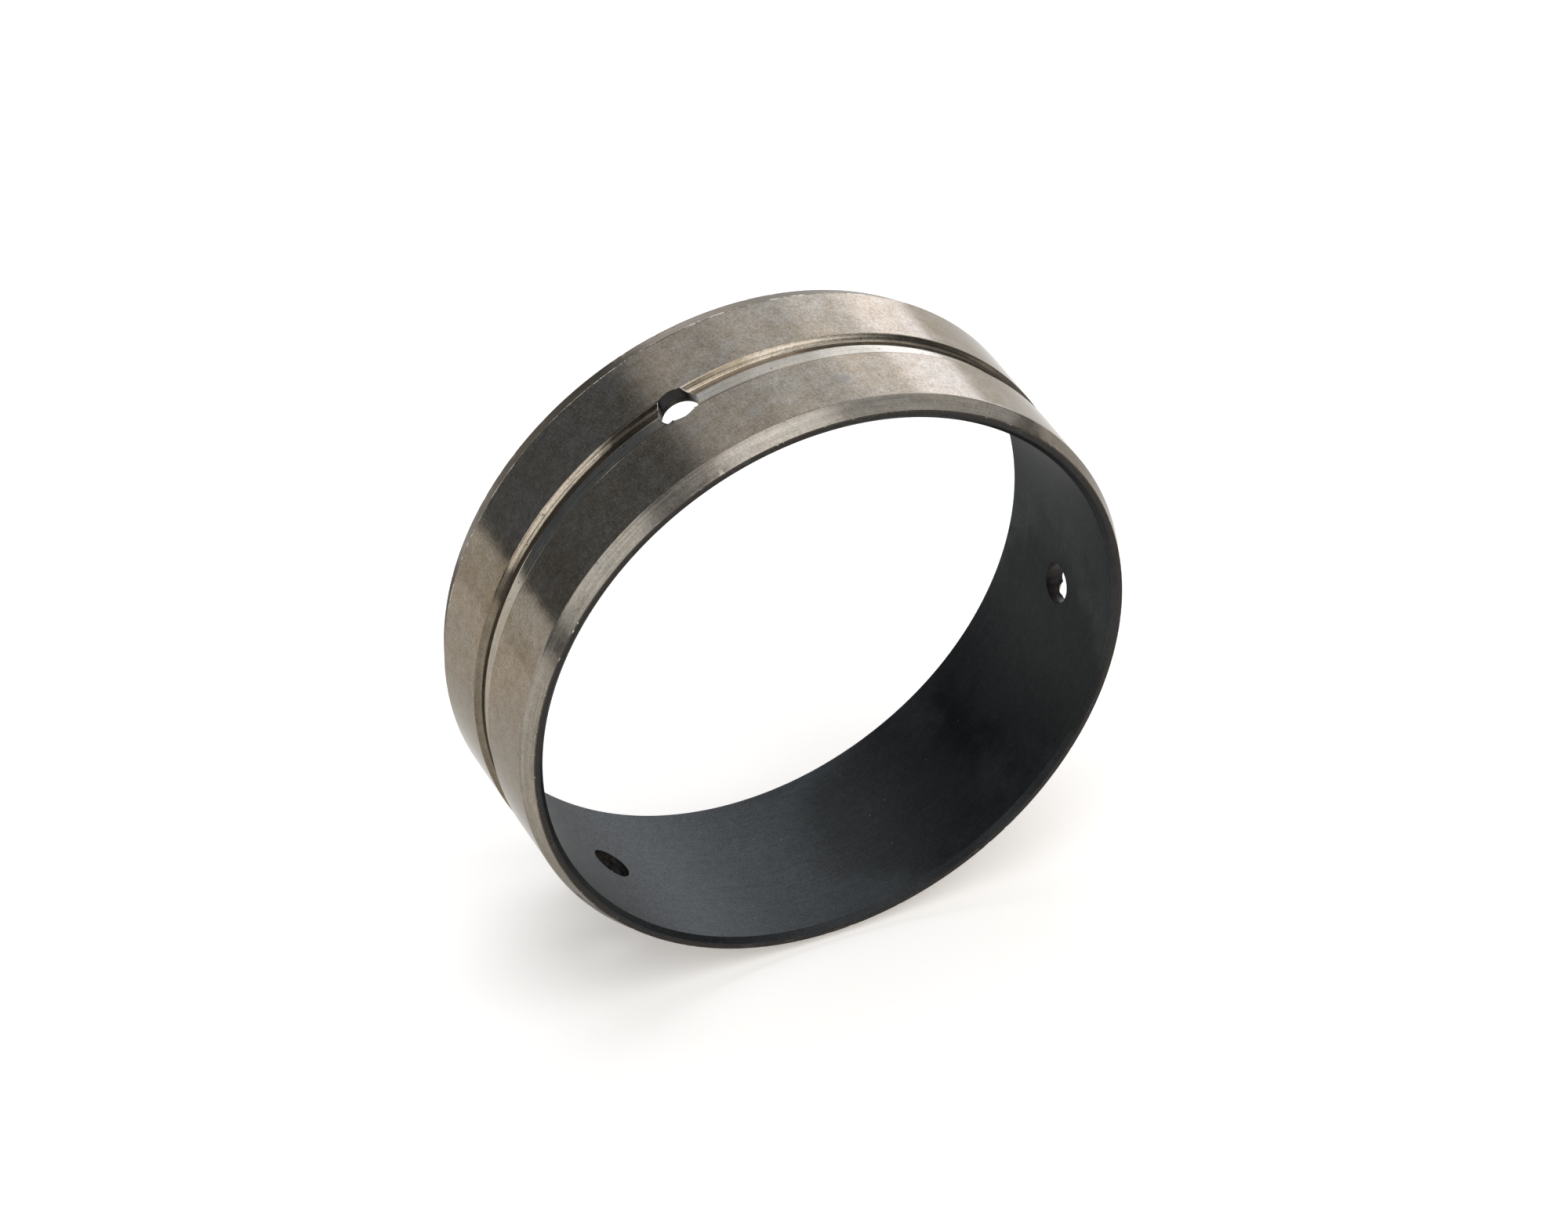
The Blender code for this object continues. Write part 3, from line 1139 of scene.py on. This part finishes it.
def running_coat(name, finish):
    """Matt black baked coat with fine speckle, lines round the bore and some dust."""
    paint = Surface(name, COAT)
    lighter = tuple(COAT.lighter * part for part in finish.shade)
    # Patches of painted shade that dim the coat's reflections
    colour = paint.film(paint.base(finish.shade, lighter), COAT_PAINTED_SHADES)
    dusty = paint.cover(*DUST_FILM, finish.dust_film)
    colour = paint.scale(colour, paint.remap(dusty, 0.0, 1.0, 1.0, DUST_LIGHTER))
    for spacing, size, multiple, strength in DUST_SPECKS:
        share = multiple * finish.dust_share
        colour, paint.fields["dust"] = paint.speckled(colour, spacing, size, share, strength, DUST_COLOUR)
    roughness = paint.level(COAT.roughness_swing, finish.roughness)
    hidden = paint.times(dusty, paint.remap(paint.fields["speckle"], *DUST_HIDES_LIMITS))
    others = {"Metallic": paint.math("SUBTRACT", 1.0, hidden), "Specular Tint": COAT.grazing}
    return paint.finish(colour, roughness, paint.total(COAT.height), COAT.bump, others)


# Studio


def soft_box(paint, direction, elevation, azimuth, half_width, low, high, soft, brightness):
    """Brightness of a soft box of the studio in a direction, with angles in degrees."""
    turned = paint.node(
        "ShaderNodeVectorRotate",
        {"Vector": direction, "Angle": math.radians(azimuth)},
        rotation_type="Z_AXIS",
    ).outputs["Vector"]
    axes = paint.node("ShaderNodeSeparateXYZ", {"Vector": turned}).outputs
    side = paint.math("ABSOLUTE", paint.math("ARCTAN2", axes["X"], axes["Y"]))
    soft = math.radians(soft)
    wide = math.radians(half_width)
    low = math.radians(low)
    high = math.radians(high)
    across = paint.remap(side, wide - soft, wide + soft, 1.0, 0.0)
    above = paint.remap(elevation, low - soft, low + soft)
    below = paint.remap(elevation, high - soft, high + soft, 1.0, 0.0)
    inside = paint.times(paint.times(across, above), below)
    return paint.times(inside, brightness)


def make_world():
    world = bpy.data.worlds.new("studio")
    bpy.context.scene.world = world
    world.use_nodes = True
    tree = world.node_tree
    paint = Painter(tree)
    direction = paint.node("ShaderNodeTexCoord", {}).outputs["Generated"]
    height = paint.node("ShaderNodeSeparateXYZ", {"Vector": direction}).outputs["Z"]
    elevation = paint.math("ARCSINE", height)
    brightness = None
    for values in SOFT_BOXES.values():
        box = soft_box(paint, direction, elevation, *values)
        brightness = box if brightness is None else paint.math("MAXIMUM", brightness, box)
    tint = paint.mix(paint.remap(brightness, *STUDIO_BRIGHT), STUDIO_TINT, STUDIO_BRIGHT_TINT)
    lit = paint.remap(brightness, 0.0, STUDIO_DARK_BELOW)
    light = paint.mix(lit, STUDIO_DARK, paint.scale(tint, brightness))
    lowest = STUDIO_GROUND_EDGE - STUDIO_GROUND_SOFT
    highest = STUDIO_GROUND_EDGE + STUDIO_GROUND_SOFT
    ground = paint.remap(elevation, lowest, highest, 1.0, 0.0)
    light = paint.mix(ground, light, STUDIO_GROUND)
    paint.feed(light, tree.nodes["Background"].inputs["Color"])


def floor_paint():
    """Pale matt floor that glows a little where it is seen, and doesn't light the bush by that."""
    material = bpy.data.materials.new("floor")
    material.use_nodes = True
    paint = Painter(material.node_tree)
    rays = paint.node("ShaderNodeLightPath", {}).outputs
    seen = paint.math("MAXIMUM", rays["Is Camera Ray"], rays["Is Glossy Ray"])
    seen = paint.math("MAXIMUM", seen, rays["Is Transmission Ray"])
    paint.shade({
        "Base Color": FLOOR_COLOUR,
        "Roughness": FLOOR_ROUGHNESS,
        "Specular IOR Level": 0.0,
        "Emission Color": FLOOR_GLOW_COLOUR,
        "Emission Strength": paint.times(seen, FLOOR_GLOW),
    })
    return material


def make_floor():
    shape = bmesh.new()
    corners = (
        (-FLOOR_REACH, -FLOOR_REACH),
        (FLOOR_REACH, -FLOOR_REACH),
        (FLOOR_REACH, FLOOR_BACK_LEFT),
        (-FLOOR_REACH, FLOOR_BACK_LEFT),
    )
    shape.faces.new([shape.verts.new((across, along, 0.0)) for across, along in corners])
    mesh = bpy.data.meshes.new("floor")
    shape.to_mesh(mesh)
    shape.free()
    mesh.materials.append(floor_paint())
    floor = bpy.data.objects.new("floor", mesh)
    floor.location.z = FLOOR_HEIGHT
    floor.rotation_euler.z = FLOOR_TURN
    bpy.context.collection.objects.link(floor)


def make_camera():
    back = Vector((
        math.sin(VIEW_AZIMUTH) * math.cos(VIEW_ELEVATION),
        -math.cos(VIEW_AZIMUTH) * math.cos(VIEW_ELEVATION),
        math.sin(VIEW_ELEVATION),
    ))
    turn = (-back).to_track_quat("-Z", "Y")
    data = bpy.data.cameras.new("camera")
    data.sensor_width = SENSOR_WIDTH
    data.lens = LENS
    data.clip_start = CLIP_START
    data.clip_end = CLIP_END
    camera = bpy.data.objects.new("camera", data)
    camera.rotation_mode = "QUATERNION"
    camera.rotation_quaternion = turn
    camera.location = turn @ Vector((AIM_RIGHT, AIM_UP, VIEW_DISTANCE))
    bpy.context.collection.objects.link(camera)
    bpy.context.scene.camera = camera


# Pieces of the bush


def dress(piece, node):
    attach(piece, BODY)
    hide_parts(node)


def make_backing():
    rows, strips = backing_outside()
    outside = Skin(rows, strips, True, burr, burr_lip)
    inside = Skin(*plain_inside(BACKING_INNER_RADIUS, FRONT_END + ROUND_SUPPORT), False)
    finishes = {
        "end_face": end_face_steel(),
        "lead_in": turned_steel("lead_in_steel", LEAD_IN_FINISH, LEAD_IN_PAINTED_SHADES, oil=LEAD_IN_GRAZING_SHADE),
        "land_edge": turned_steel("land_edge_steel", LEAD_IN_FINISH, LAND_EDGE_PAINTED_SHADES),
        # Painted shade: the rear lead-in is a darker copy of the front one's steel
        "rear_lead_in": turned_steel(
            "rear_lead_in_shaded_steel", REAR_LEAD_IN_SHADED_FINISH, REAR_LEAD_IN_PAINTED_SHADES, DULL_GRAZING, REAR_MATT_FILM),
        "land": land_steel(),
        "groove_wall": turned_steel("groove_wall_steel", GROOVE_WALL_FINISH, GROOVE_WALL_PAINTED_SHADES),
        "groove_floor": turned_steel("groove_floor_steel", GROOVE_FLOOR_FINISH, STEEL_PAINTED_SHADES),
        "root": turned_steel("groove_root_steel", ROOT_FINISH, ROOT_PAINTED_SHADES_AND_HIGHLIGHT),
        "edge": worn_steel("edge_steel", EDGE_FINISH),
        "rear_edge": worn_steel("rear_edge_steel", REAR_EDGE_FINISH),
        "rim": worn_steel("rim_steel", RIM_FINISH),
        "hidden": drilled_metal("drilled_steel", DRILLED, DRILL_DARKER_PATCH),
    }
    wear = make_wear(rows)
    backing = make_ring("steel_backing_ring", outside, inside, finishes, BACKING_DRILL_MARKS, wear)
    dress(backing, "steel_backing")


def make_lining():
    front = FRONT_END + LINING_MOUTH_RADIUS - LINING_INNER_RADIUS
    outside = Skin(*hidden_outside(LINING_MOUTH_RADIUS, LINING_OUTER_RADIUS, FRONT_END), True)
    inside = Skin(*plain_inside(LINING_INNER_RADIUS, front), False)
    finishes = {"hidden": drilled_metal("bearing_alloy", ALLOY)}
    lining = make_ring("alloy_lining_ring", outside, inside, finishes, LINING_DRILL_MARKS)
    dress(lining, "alloy_lining")


def make_coat():
    front = FRONT_END + COAT_EDGE_RADIUS - COAT_OUTER_RADIUS
    outside = Skin(*hidden_outside(COAT_EDGE_RADIUS, COAT_OUTER_RADIUS, front), True)
    inside = Skin(*coat_inside(), False, coat_rim)
    bore = running_coat("bore_coat", BORE_FINISH)
    finishes = {"bore": bore, "mouth": running_coat("mouth_coat", MOUTH_FINISH), "hidden": bore}
    coat = make_ring("running_coat_ring", outside, inside, finishes, COAT_DRILL_MARKS)
    dress(coat, "running_coat")


def main():
    bpy.context.scene.view_settings.view_transform = "Standard"
    make_camera()
    make_world()
    make_floor()
    make_backing()
    make_lining()
    make_coat()


main()
